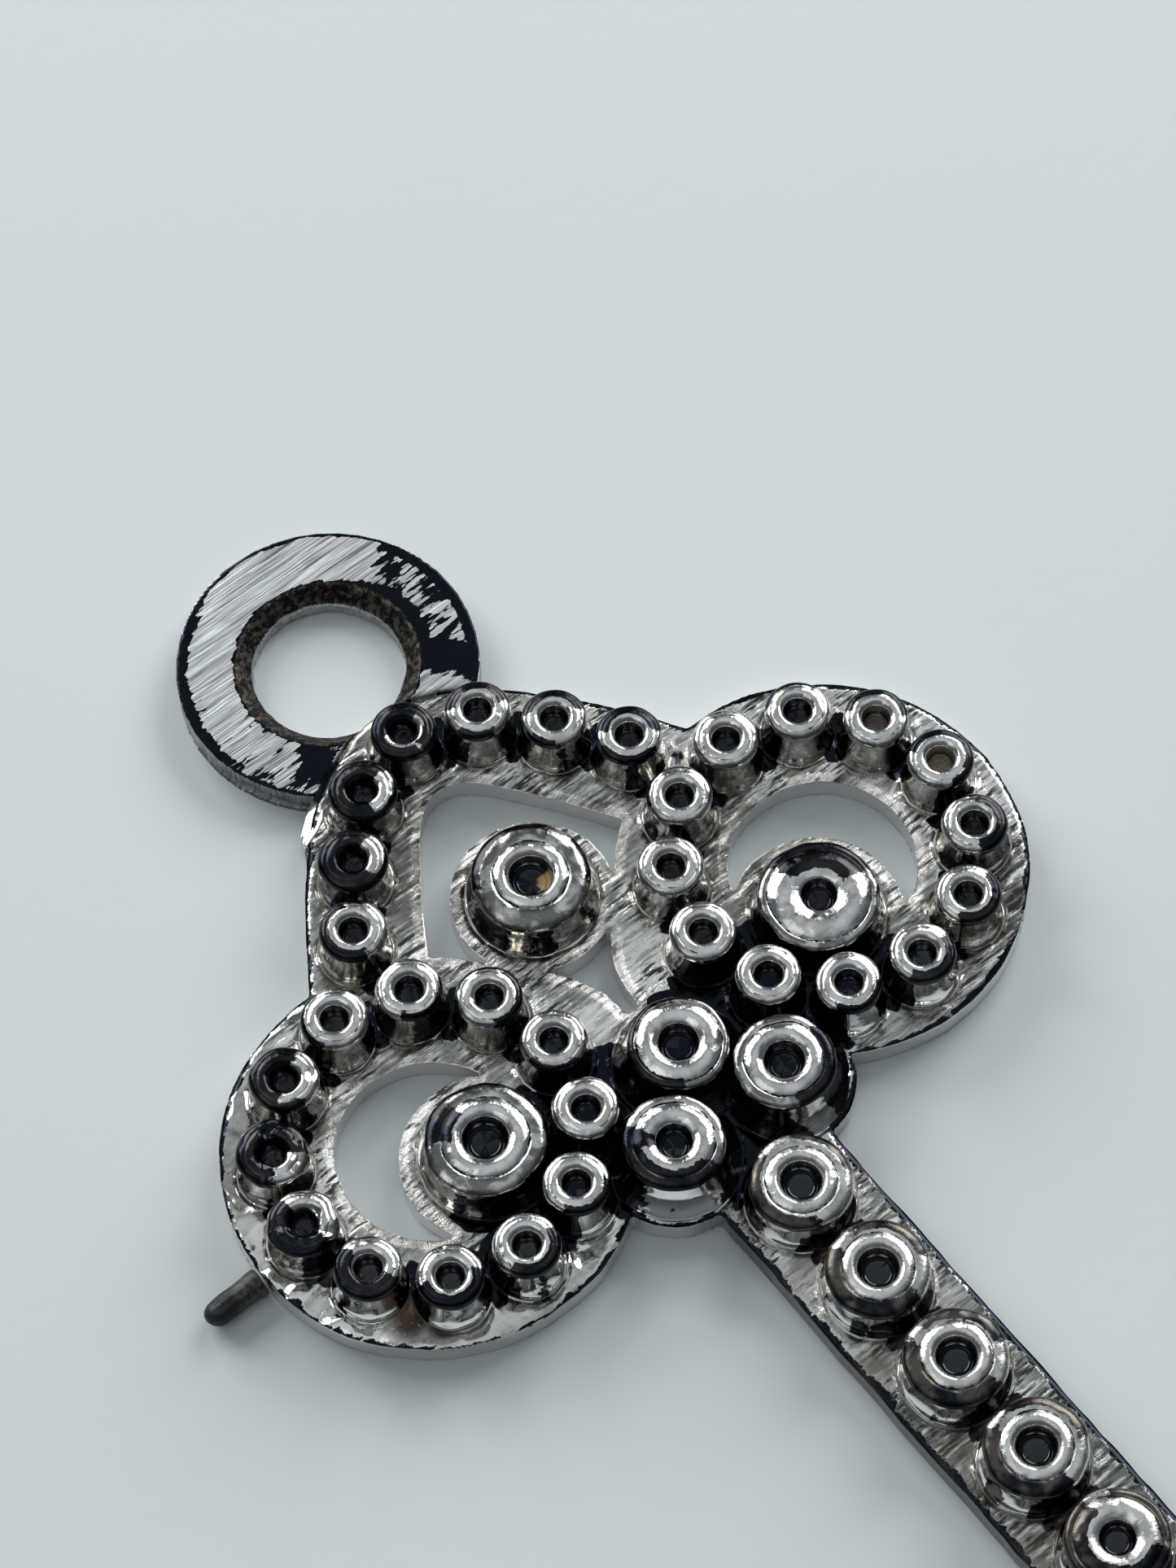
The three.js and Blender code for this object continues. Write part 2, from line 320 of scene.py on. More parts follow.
def plate_material():
    tree = Tree("filed_plate")
    marks = file_marks(tree, 1.3, 8.5)
    uneven = tree.noise(tree.millimetres, 0.8, 2.0, 0.5)
    grain = tree.noise(tree.millimetres, 9.0, 3.0, 0.6)
    blotch = tree.noise(tree.millimetres, 1.6, 3.0, 0.55, 0.4)
    crumbs = tree.noise(tree.millimetres, 22.0, 2.0, 0.6)
    rim = tree.attribute("rim")
    land = tree.attribute("land")
    grime = tree.attribute("grime")
    rubbed = tree.times(land, tree.step(uneven, 0.38, 0.58, 0.3, 1.0))

    # Black plating is left along the outline, where the file missed it. Between crowded feet the black is
    # partly plating and partly painted shade.
    torn = tree.swing(marks, 0.55, 0.5)
    width = tree.plus(torn, tree.swing(blotch, 0.46, 0.45))
    edge_black = tree.step(tree.math("SUBTRACT", rim, width), 0.10, 0.07)
    edge_black = tree.times(edge_black, tree.attribute("outer"))
    uneven_recess = tree.plus(tree.swing(blotch, 0.5, 0.9), tree.times(torn, 0.5))
    recess_black_and_shade = tree.plus(tree.attribute("recess_black_and_shade"), uneven_recess)
    black = tree.math("MAXIMUM", edge_black, tree.step(recess_black_and_shade, 0.46, 0.56))

    # The land's tone: random dull and polished patches, with painted sheen and painted shade from the table
    # of patches.
    tone_and_sheen = tree.plus(tree.attribute("tone_and_sheen"), tree.swing(blotch, 0.5, 0.9))
    colour = tree.mix(tree.step(tone_and_sheen, 0.0, 1.0), LAND_DULL_AND_SHADED, LAND_POLISHED_AND_SHEEN)
    colour = tree.mix(tree.times(rubbed, tree.step(marks, 0.55, 0.49)), colour, STROKE_DARK)
    colour = tree.mix(tree.times(rubbed, tree.step(marks, 0.58, 0.63)), colour, STROKE_BRIGHT)
    side = tree.mix(tree.attribute("shade"), tree.mix(blotch, SIDE_PALE, BRIGHT), SIDE_SHADED)
    colour = tree.mix(tree.attribute("side"), colour, side)
    colour = tree.mix(black, colour, BLACK)
    colour = tree.mix(tree.times(grime, tree.step(grain, 0.1, 0.45)), colour, BROWN)

    low_ground = tree.step(grain, 0.3, 0.7, 0.10, 0.2)
    roughness = tree.blend(land, low_ground, tree.step(marks, 0.4, 0.75, 0.16, 0.32))
    roughness = tree.blend(black, roughness, 0.15)
    roughness = tree.plus(roughness, tree.times(grime, 0.3))
    metallic = tree.math("SUBTRACT", 1.0, tree.times(grime, 0.7))
    normal = tree.bump(grain, 0.02, tree.blend(land, 0.25, 0.6))
    burr = tree.times(tree.step(rim, 0.42, 0.1), tree.attribute("inner"))
    normal = tree.bump(crumbs, 0.05, tree.times(burr, 0.9), normal)
    normal = tree.bump(marks, 0.05, tree.times(rubbed, tree.blend(black, 1.0, 0.2)), normal)
    return tree.finish(colour, roughness, metallic, normal)


def ring_material():
    tree = Tree("filed_ring")
    marks = file_marks(tree, 0.4, 17.0)
    streaks = tree.noise(tree.scaled(tree.millimetres, (1.0, 4.6, 1.0), 4.0), 1.0, 3.0, 0.6)
    grain = tree.noise(tree.millimetres, 8.0, 3.0, 0.6)
    crumbs = tree.noise(tree.millimetres, 5.0, 4.0, 0.65)
    dull = tree.attribute("dull")

    skin = tree.plus(tree.attribute("skin"), tree.swing(streaks, 0.5, 2.1))
    black = tree.step(skin, 0.48, 0.52)
    colour = tree.mix(tree.step(marks, 0.40, 0.60), RING_DARK, RING_LIGHT)
    colour = tree.mix(black, colour, BLACK)
    mottled = tree.mix(tree.step(crumbs, 0.44, 0.62), CHAMFER_BLACK, CHAMFER_BROWN)
    colour = tree.mix(dull, colour, mottled)
    bore = tree.mix(tree.step(grain, 0.35, 0.7), BORE_LIGHT, BORE_BROWN)
    colour = tree.mix(tree.attribute("bore"), colour, bore)
    roughness = tree.blend(black, tree.step(marks, 0.35, 0.8, 0.30, 0.5), 0.2)
    roughness = tree.blend(dull, roughness, 0.55)
    normal = tree.bump(marks, 0.04, tree.step(black, 0.0, 1.0, 1.0, 0.15))
    normal = tree.bump(crumbs, 0.05, dull, normal)
    return tree.finish(colour, roughness, 1.0, normal)


def solder_material():
    tree = Tree("solder")
    grain = tree.noise(tree.millimetres, 6.0, 3.0, 0.6)
    colour = tree.mix(grain, SOLDER_LIGHT, SOLDER_DARK)
    roughness = tree.step(grain, 0.35, 0.7, 0.10, 0.22)
    return tree.finish(colour, roughness, 1.0, tree.bump(grain, 0.02, 0.35))


def stud_material():
    tree = Tree("plated_stud")
    lumps = tree.noise(tree.millimetres, 2.2, 2.0, 0.5)
    ragged = tree.noise(tree.millimetres, 4.5, 4.0, 0.6, 0.3)
    grain = tree.noise(tree.millimetres, 14.0, 3.0, 0.6)
    strokes = tree.noise(tree.scaled(tree.millimetres, (2.0, 9.0, 2.0), 20.0), 1.0, 2.0, 0.6)
    cloud = tree.noise(tree.millimetres, 1.5, 3.0, 0.5, 0.6)
    wall = tree.attribute("wall")
    bare_and_lit = tree.attribute("bare_and_lit")
    filth = tree.attribute("filth")
    crumb = tree.attribute("crumb")
    worn = tree.attribute("worn")
    # Black: plating on the heads; below the heads partly plating and partly painted shade, low down and
    # where studs crowd.
    patch = tree.plus(tree.attribute("patch"), tree.swing(ragged, 0.5, 1.1))
    black = tree.math("MAXIMUM", tree.step(patch, 0.45, 0.55), tree.attribute("sunk"))

    colour = tree.mix(tree.step(lumps, 0.35, 0.7), HEAD_LIGHT, HEAD_DARK)
    tarnish = tree.times(tree.attribute("tarnish"), tree.step(cloud, 0.40, 0.56, 0.15, 0.9))
    colour = tree.mix(tarnish, colour, TARNISH)
    colour = tree.mix(tree.times(wall, tree.step(cloud, 0.4, 0.6, 0.3, 0.9)), colour, WALL)
    # Bare walls are clean metal painted near-white, a painted reflection.
    colour = tree.mix(bare_and_lit, colour, tree.mix(lumps, BARE_LIT_LIGHT, BARE_LIT_DARK))
    plating = tree.mix(tree.times(worn, tree.step(cloud, 0.36, 0.64)), BLACK, WORN_BLACK)
    colour = tree.mix(black, colour, plating)
    colour = tree.mix(crumb, colour, tree.mix(grain, COMPOUND_DARK, COMPOUND_LIGHT))
    colour = tree.mix(filth, colour, tree.mix(tree.step(grain, 0.4, 0.6), FILTH_DARK, FILTH_LIGHT))

    dirt = tree.math("MAXIMUM", filth, crumb)
    roughness = tree.blend(black, tree.step(grain, 0.3, 0.8, 0.08, 0.2), 0.13)
    roughness = tree.plus(roughness, tree.times(worn, tree.step(bare_and_lit, 0.0, 1.0, 0.13, 0.0)))
    roughness = tree.plus(roughness, tree.times(dirt, 0.5))
    metallic = tree.math("SUBTRACT", 1.0, tree.times(dirt, 0.9))
    normal = tree.bump(lumps, 0.06, tree.step(bare_and_lit, 0.0, 1.0, 0.4, 0.15))
    smooth = tree.math("MAXIMUM", bare_and_lit, wall)
    normal = tree.bump(grain, 0.02, tree.step(smooth, 0.0, 1.0, 0.3, 0.06), normal)
    scraped = tree.times(wall, tree.step(lumps, 0.42, 0.6, 0.0, 0.25))
    normal = tree.bump(strokes, 0.03, scraped, normal)
    return tree.finish(colour, roughness, metallic, normal)


def stub_material():
    tree = Tree("cast_skin")
    grain = tree.noise(tree.millimetres, 6.0, 4.0, 0.65)
    colour = tree.mix(tree.step(grain, 0.4, 0.7), CAST_DARK, CAST_LIGHT)
    colour = tree.mix(tree.attribute("tip"), colour, tree.mix(grain, TIP_DARK, TIP_LIGHT))
    roughness = tree.step(grain, 0.3, 0.7, 0.35, 0.6)
    return tree.finish(colour, roughness, 0.5, tree.bump(grain, 0.05, 0.5))


def floor_material():
    tree = Tree("pale_board")
    cloud = tree.noise(tree.millimetres, 0.05, 3.0, 0.5)
    grain = tree.noise(tree.millimetres, 1.4, 3.0, 0.6)
    colour = tree.mix(cloud, BOARD_LIGHT, BOARD_DARK)
    return tree.finish(colour, 0.75, 0.0, tree.bump(grain, 0.03, 0.2))


# How surely black covers a place: plating, and below the heads and on the low ground partly painted shade. A
# material adds ragged noise and blackens what is above 0.5.
COVERED = 1.6
UNCOVERED = -0.6


# ------------------------------------------------------------------ studs

# Radii of a stud's parts, top down: dimple, crest and crease of the inner bead, outer edge, waist, foot.
SMALL = {"hole": 0.38, "crest": 0.56, "crease": 0.72, "edge": 0.925, "waist": 0.74, "foot": 1.03}
MEDIUM = {"hole": 0.55, "crest": 0.73, "crease": 0.96, "edge": 1.40, "waist": 1.16, "foot": 1.50}
LARGE = {"hole": 0.60, "crest": 0.80, "crease": 1.03, "edge": 1.66, "waist": 1.42, "foot": 1.84}
# Some heads are one broad bead, almost to their edge, and some are wider than the rest of their kind.
BROAD = {
    "arch_stud_1": {"edge": 0.94},
    "arch_stud_2": {"edge": 0.98},
    "arch_stud_3": {"edge": 0.97},
    "left_lobe_stud_01": {"edge": 0.96},
    "left_lobe_stud_02": {"edge": 0.98},
    "left_lobe_stud_03": {"edge": 0.96},
    "right_lobe_boss": {"hole": 0.50, "crest": 0.94, "crease": 1.40},
    "left_lobe_boss": {"hole": 0.62, "crest": 0.88, "crease": 1.18},
    "cluster_stud_top": {"crest": 0.85, "crease": 1.18},
    "cluster_stud_left": {"hole": 0.50, "crest": 0.80, "crease": 1.10},
    "cluster_stud_right": {"crest": 0.80, "crease": 1.08},
    "shaft_stud_5": {"hole": 0.48, "crest": 0.80, "crease": 1.15},
}
PAD_FOOT = 1.80                            # the cluster's studs spread wider, over their round pads
SMALL_EDGE = 1.0                           # a stud whose edge is under this is a small one


def smooth_path(points, steps):
    """A Catmull-Rom curve through points, with steps samples on each span."""
    points = np.asarray(points, float)
    padded = np.vstack([2 * points[0] - points[1], points, 2 * points[-1] - points[-2]])
    samples = []
    for index in range(1, len(padded) - 2):
        before, start, end, after = padded[index - 1:index + 3]
        for t in np.arange(steps) / steps:
            samples.append(0.5 * (
                2 * start + (end - before) * t
                + (2 * before - 5 * start + 4 * end - after) * t * t
                + (3 * start - before - 3 * end + after) * t ** 3))
    samples.append(points[-1])
    return np.array(samples)


def stud_profile(size, height):
    """Radius and height along a stud's surface, from the middle of its dimple down to under its foot.

    A small head is rounder: its crease is shallow and its shoulder falls away at once.
    """
    hole, crest, crease = size["hole"], size["crest"], size["crease"]
    edge, waist, foot = size["edge"], size["waist"], size["foot"]
    shoulder = edge - crease
    if edge < SMALL_EDGE:
        valley = height - 0.20 * (crease - crest) - 0.005
        crown = crease + 0.05 * shoulder
        crown_height = valley
        fall = 0.14 + 0.35 * shoulder
    else:
        valley = height - 0.34 * (crease - crest) - 0.015
        crown = crease + 0.20 * shoulder
        crown_height = valley + 0.05 * shoulder
        fall = 0.14 + 0.20 * shoulder
    dimple = [
        (0.02, height - 0.56), (hole * 0.55, height - 0.56), (hole * 0.66, height - 0.54),
        (hole * 0.74, height - 0.57), (hole * 0.93, height - 0.48), (hole * 0.98, height - 0.24),
    ]
    head = [(crest - (crest - hole) * t, height - 0.13 * t * t) for t in (1.0, 0.66, 0.33)]
    for t in (0.0, 0.3, 0.6, 0.85, 1.0):
        head.append((crest + (crease - crest) * t, height - (height - valley) * t * t))
    for turn in (0, 25, 48, 68, 90):
        bend = math.radians(turn)
        head.append((
            crown + (edge - crown) * math.sin(bend),
            crown_height - fall * (1.0 - math.cos(bend)),
        ))
    rim = crown_height - fall
    spread = foot - waist
    wall = [
        (edge * 0.98, rim - 0.07), (edge * 0.92, rim - 0.13),
        (waist + 0.25 * (0.92 * edge - waist), rim - 0.20), (waist, rim - 0.32),
        (waist + 0.16 * spread, 0.42 * height), (waist + 0.36 * spread, 0.26 * height),
        (waist + 0.60 * spread, 0.13 * height), (waist + 0.84 * spread, 0.05 * height),
    ]
    base = [(foot * 0.985, 0.012), (foot, -0.01), (foot, -0.12)]
    return smooth_path(dimple + head + wall + base, 3)


def lathe(profile, sides):
    """Points and faces of a profile turned about Z, closed at both ends."""
    angles = np.arange(sides) * 2 * np.pi / sides
    rings = [np.column_stack([r * np.cos(angles), r * np.sin(angles), np.full(sides, z)])
             for r, z in profile]
    points = np.vstack(rings + [[[0, 0, profile[0][1]], [0, 0, profile[-1][1]]]])
    faces = []
    for ring in range(len(profile) - 1):
        for side in range(sides):
            after = (side + 1) % sides
            here, below = ring * sides, (ring + 1) * sides
            faces.append((here + side, below + side, below + after, here + after))
    top, bottom = len(points) - 2, len(points) - 1
    last = (len(profile) - 1) * sides
    for side in range(sides):
        after = (side + 1) % sides
        faces.append((top, side, after))
        faces.append((bottom, last + after, last + side))
    return points, faces


# Where black plating is left on the heads: the direction of a patch's middle, its half width in degrees,
# and the share of the head's radius where it starts. A head may have several.
PATCHES = {
    "arch_stud_1": [(165, 95, 0.70), (75, 40, 0.80)],
    "arch_stud_2": [(150, 130, 0.30), (-60, 40, 0.86)],
    "arch_stud_3": [(130, 125, 0.30), (-90, 70, 0.84)],
    "arch_stud_4": [(90, 180, 0.64), (90, 75, 0.36), (-60, 30, 0.56)],
    "arch_stud_5": [(60, 85, 0.64), (-130, 35, 0.80)],
    "arch_stud_6": [(55, 80, 0.66), (-150, 30, 0.80)],
    "arch_stud_7": [(55, 85, 0.62), (-130, 60, 0.78)],
    "right_lobe_stud_01": [(30, 100, 0.72), (-70, 35, 0.80)],
    "right_lobe_stud_02": [(45, 80, 0.74)],
    "right_lobe_stud_03": [(80, 60, 0.82)],
    "right_lobe_stud_05": [(90, 80, 0.88)],
    "right_lobe_stud_09": [(-95, 60, 0.80)],
    "right_lobe_stud_10": [(-80, 75, 0.66)],
    "right_lobe_stud_11": [(-70, 80, 0.68)],
    "right_lobe_stud_12": [(-35, 85, 0.62), (60, 30, 0.86)],
    "left_lobe_stud_01": [(190, 95, 0.15)],
    "left_lobe_stud_02": [(98, 140, 0.10)],
    "left_lobe_stud_03": [(125, 100, 0.35), (-130, 40, 0.80)],
    "left_lobe_stud_04": [(150, 60, 0.86)],
    "left_lobe_stud_05": [(-80, 60, 0.84)],
    "left_lobe_stud_06": [(-45, 75, 0.78), (80, 45, 0.86)],
    "left_lobe_stud_07": [(-130, 50, 0.84)],
    "left_lobe_stud_09": [(-90, 60, 0.78)],
    "left_lobe_stud_10": [(-80, 78, 0.66)],
    "left_lobe_stud_11": [(-110, 90, 0.64)],
    "left_lobe_stud_12": [(-160, 100, 0.48)],
    "arch_boss": [(95, 62, 0.84), (-20, 25, 0.90)],
    "right_lobe_boss": [(50, 60, 0.45)],
    "left_lobe_boss": [(124, 26, 0.52), (75, 35, 0.90)],
    "cluster_stud_top": [(-165, 45, 0.80), (100, 60, 0.88)],
    "cluster_stud_left": [(218, 70, 0.64), (143, 18, 0.36)],
    "cluster_stud_right": [(-50, 62, 0.74)],
    "shaft_stud_1": [(180, 75, 0.76), (20, 45, 0.82)],
    "shaft_stud_2": [(200, 85, 0.68), (30, 55, 0.76)],
    "shaft_stud_3": [(205, 85, 0.66), (40, 60, 0.74)],
    "shaft_stud_4": [(195, 80, 0.68), (35, 60, 0.78)],
    "shaft_stud_5": [(170, 80, 0.55), (10, 50, 0.76), (-90, 40, 0.60)],
    "shaft_stud_6": [(200, 85, 0.70), (30, 50, 0.78)],
    "shaft_stud_7": [(185, 80, 0.68), (50, 60, 0.78)],
    "shaft_stud_8": [(210, 80, 0.70), (20, 60, 0.76)],
    "shaft_stud_9": [(190, 75, 0.72), (60, 60, 0.78)],
    "bit_stud_1_1": [(-60, 70, 0.70)],
    "bit_stud_1_2": [(20, 80, 0.72)],
    "bit_stud_2_1": [(200, 60, 0.74)],
    "bit_stud_2_2": [(40, 90, 0.66)],
}
# These stand at the lower edge, open to the pale floor: their walls are bare metal, painted near-white as a
# painted reflection of the pale floor.
FLOOR_LIT_BARE_WALLS = {
    "cluster_stud_left", "left_lobe_stud_08", "left_lobe_stud_09", "left_lobe_stud_10", "left_lobe_stud_11",
    "left_lobe_stud_12", "right_lobe_stud_08", "right_lobe_stud_09", "right_lobe_stud_10",
}
# Heads that are crumpled, and by how much, and holes that are filled with dirt.
CRUMPLED = {"left_lobe_stud_01": 0.9, "left_lobe_stud_02": 1.0, "left_lobe_stud_03": 0.35}
FILLED = {"right_lobe_stud_01": 1.0, "right_lobe_stud_02": 0.5}


def stud_size(node):
    if "boss" in node:
        size = LARGE
    elif "cluster" in node:
        size = {**MEDIUM, "foot": PAD_FOOT}
    elif "shaft" in node:
        size = MEDIUM
    else:
        size = SMALL
    return {**size, **BROAD.get(node, {})}


def patch_field(node, angles, share):
    """Above 0.5 where a head keeps its black plating. It falls off smoothly across the patch's edge."""
    field = np.full(len(angles), UNCOVERED)
    for direction, half_width, start in PATCHES.get(node, []):
        around = 0.5 + (half_width - turned_from(angles, direction)) / 36.0
        outward = 0.5 + (share - start) / 0.13
        field = np.maximum(field, np.minimum(np.minimum(around, outward), COVERED))
    return field


def stud_places():
    """Every stud's place in plan and foot radius, in millimetres."""
    places = {}
    for node in sorted(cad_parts):
        if "stud" in node or "boss" in node:
            low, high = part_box(node)
            places[node] = ((low.x + high.x) / 2 / MM, (low.y + high.y) / 2 / MM, stud_size(node)["foot"])
    return places


STUDS = stud_places()


def gaps(points, skip=None):
    """Distance in plan from each point to the feet of the studs, nearest first: an (n, 2) array."""
    others = np.array([place for node, place in STUDS.items() if node != skip])
    away = np.hypot(points[:, 0, None] - others[None, :, 0], points[:, 1, None] - others[None, :, 1])
    return np.partition(away - others[None, :, 2], 1, axis=1)[:, :2]


# Places in the middle of the bow where all the low ground is black, partly plating and partly painted shade:
# x, y and radius.
BLACK_AND_SHADED_GROUND = [
    (1.0, 3.9, 2.0), (3.9, 4.3, 1.6), (-2.4, 3.8, 1.9), (0.0, 1.0, 0.9),
    (5.2, 3.3, 1.0), (2.2, 2.6, 1.2), (-6.4, 3.5, 1.0), (-5.4, 3.2, 0.9),
]


def black_and_shaded_ground(points):
    """1 inside the places where all the low ground is black, falling to 0 over a millimetre outside."""
    field = np.zeros(len(points))
    for x, y, radius in BLACK_AND_SHADED_GROUND:
        away = np.hypot(points[:, 0] - x, points[:, 1] - y)
        field = np.maximum(field, ramp(away, radius + 0.9, radius - 0.1))
    return field


def make_stud(node, seed, material):
    low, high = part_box(node)
    centre = np.array([(low.x + high.x) / 2, (low.y + high.y) / 2, low.z]) / MM
    height = (high.z - low.z) / MM
    size = stud_size(node)
    small = size["edge"] < SMALL_EDGE
    on_shaft = "shaft" in node
    points, faces = lathe(stud_profile(size, height), 72 if small else 96)
    radius = np.hypot(points[:, 0], points[:, 1])
    angles = np.degrees(np.arctan2(points[:, 1], points[:, 0]))
    share = radius / size["edge"]
    top = ramp(points[:, 2], 0.5 * height, 0.8 * height)

    # Worn by hand: the heads are a little out of round and their beads are lumpy.
    crumple = CRUMPLED.get(node, 0.0)
    spot = points + centre
    swell = 0.022 * noise(spot, 0.9, seed) + 0.012 * noise(spot, 0.32, seed + 1)
    swell += 0.06 * crumple * noise(spot, 0.4, seed + 4) * top
    points[:, :2] *= (1.0 + swell * ramp(radius, 0.0, 0.4))[:, None]
    lift = 0.016 * noise(spot, 0.5, seed + 2) + 0.010 * noise(spot, 0.2, seed + 3)
    lift += 0.10 * crumple * noise(spot, 0.33, seed + 5)
    points[:, 2] += np.minimum(lift, 0.0) * 1.6 * top * ramp(share, 0.0, 0.3)

    piece = new_piece(node + "_turned", points + centre, faces, node)
    piece.data.materials.append(material)

    # Black plating on the head: its patches and a broken line in the crease of the bead.
    crease_line = (0.24 if small else 0.38) + (0.03 - np.abs(radius - size["crease"])) / 0.12
    patch = np.maximum(patch_field(node, angles, share), np.where(top > 0.5, crease_line, UNCOVERED))

    # Black below the head, in upright streaks: partly plating and partly painted shade, more of it low down
    # and where studs crowd.
    under_head = points[:, 2] < height - 0.42
    near = gaps(points + centre, node)[:, 0]
    bare_and_lit_wall = node in FLOOR_LIT_BARE_WALLS or on_shaft
    crowd = 0.5 + (0.34 - near) / 0.9 + 0.9 * black_and_shaded_ground(points + centre)
    crowd += 0.20 * ramp(points[:, 2], 0.40 * height, 0.05 * height)
    crowd = np.maximum(crowd, -0.1 if bare_and_lit_wall else 0.22)
    if on_shaft:
        crowd += 0.5 * ramp(points[:, 2], 0.36 * height, 0.22 * height)
    around = np.column_stack([np.cos(np.radians(angles)), np.sin(np.radians(angles)), 0.12 * points[:, 2]])
    streak = 0.8 * noise(around, 0.5, seed + 6) + 0.2 * noise(around, 0.16, seed + 8)
    crowd += streak * ramp(crowd, 1.0, 0.6)
    paint(piece, "patch", np.where(under_head, np.minimum(crowd, COVERED), patch))
    # Bare walls, on the shaft and at the lower edge, are painted near-white as a painted reflection; the
    # rest are mottled.
    paint(piece, "wall", under_head * (0.0 if bare_and_lit_wall else 1.0))
    paint(piece, "bare_and_lit", under_head * (1.0 if bare_and_lit_wall else 0.0))

    # The hole and the underside are black all over. Two holes are dirty and one has a crumb in it.
    hole = size["hole"]
    in_hole = ramp(radius, hole, hole * 0.9) * ramp(points[:, 2], height * 0.98, height * 0.9)
    hole_floor = ramp(radius, hole * 0.7, hole * 0.6)
    under = 0.8 * ramp(points[:, 2], 0.02, -0.02)
    paint(piece, "sunk", np.maximum(in_hole * (1.0 - 0.04 * hole_floor), under))
    paint(piece, "filth", FILLED.get(node, 0.0) * ramp(radius, hole * 0.95, hole * 0.8))
    crumb = np.zeros(len(points))
    if node == "arch_boss":
        crumb = ramp(turned_from(angles, -39), 42, 30) * ramp(share, 0.10, 0.16) * in_hole
    paint(piece, "crumb", crumb)

    # The shoulder is tarnished, and the plating on the shaft and the bit is worn thin.
    tarnish = 0.5 if on_shaft else 0.75 if small else 1.0
    paint(piece, "tarnish", tarnish * ramp(radius, size["crease"] - 0.02, size["crease"] + 0.08) * top)
    worn = 1.0 if on_shaft or "bit" in node else 0.25
    paint(piece, "worn", worn * (1.0 - in_hole))


# ------------------------------------------------------------------ the plate

SCORES = np.array([0.35, 2.4, 1.0])        # stretches noise into scores that run across the key


def outline_distance(points, walls):
    """Distance in plan from each point to the nearest of the wall points."""
    tree = KDTree(len(walls))
    for index in walls:
        tree.insert((points[index, 0], points[index, 1], 0.0), int(index))
    tree.balance()
    return np.array([tree.find((x, y, 0.0))[2] for x, y in points[:, :2]])


def on_outside(points, walls, cell=0.2):
    """Which of the wall points are on the outer outline, not in a window.

    The open ground round the plate is flooded from one side, on a grid of cells.
    """
    low = points[:, :2].min(axis=0) - 1.0
    places = ((points[:, :2] - low) / cell).astype(int)
    shape = places.max(axis=0) + 6
    metal = np.zeros(shape, bool)
    metal[places[:, 0], places[:, 1]] = True
    open_ground = np.zeros(shape, bool)
    open_ground[0, :] = True
    while True:
        grown = open_ground.copy()
        grown[1:, :] |= open_ground[:-1, :]
        grown[:-1, :] |= open_ground[1:, :]
        grown[:, 1:] |= open_ground[:, :-1]
        grown[:, :-1] |= open_ground[:, 1:]
        grown &= ~metal
        if (grown == open_ground).all():
            break
        open_ground = grown
    spots = places[walls]
    outside = np.zeros(len(walls), bool)
    for across in range(-2, 3):
        for along in range(-2, 3):
            outside |= open_ground[spots[:, 0] + across, spots[:, 1] + along]
    return outside


# Brown stains on the low ground of the left lobe: place in plan, radius and strength.
STAINS = [(-10.2, 2.8, 0.9, 1.0), (-9.6, 2.2, 0.8, 0.9), (-10.9, 5.2, 0.6, 0.6), (-9.0, 1.7, 0.5, 0.5)]

# Painted sheen and painted shade: land painted lighter or darker where it catches more or less light than
# the rest: place, radius and change.
PAINTED_SHEEN_AND_SHADE = [
    (0.8, 7.1, 1.7, 0.5), (-1.3, 6.0, 1.6, 0.6), (-2.4, 13.2, 1.5, -0.15), (5.2, 8.9, 2.2, -0.55),
    (11.5, 6.5, 3.0, 0.35), (1.7, -3.0, 2.6, -0.4), (-1.9, -3.0, 2.6, 0.15),
]


def between_shaft_studs():
    """Faint stains on the left of the shaft, one between each two studs: place, radius and strength."""
    row = sorted((y for node, (x, y, foot) in STUDS.items() if "shaft" in node), reverse=True)
    return [(-1.35, (first + second) / 2 - 0.1, 0.75, 0.4) for first, second in zip(row, row[1:])]


def away_from(points, x, y):
    return np.hypot(points[:, 0] - x, points[:, 1] - y)


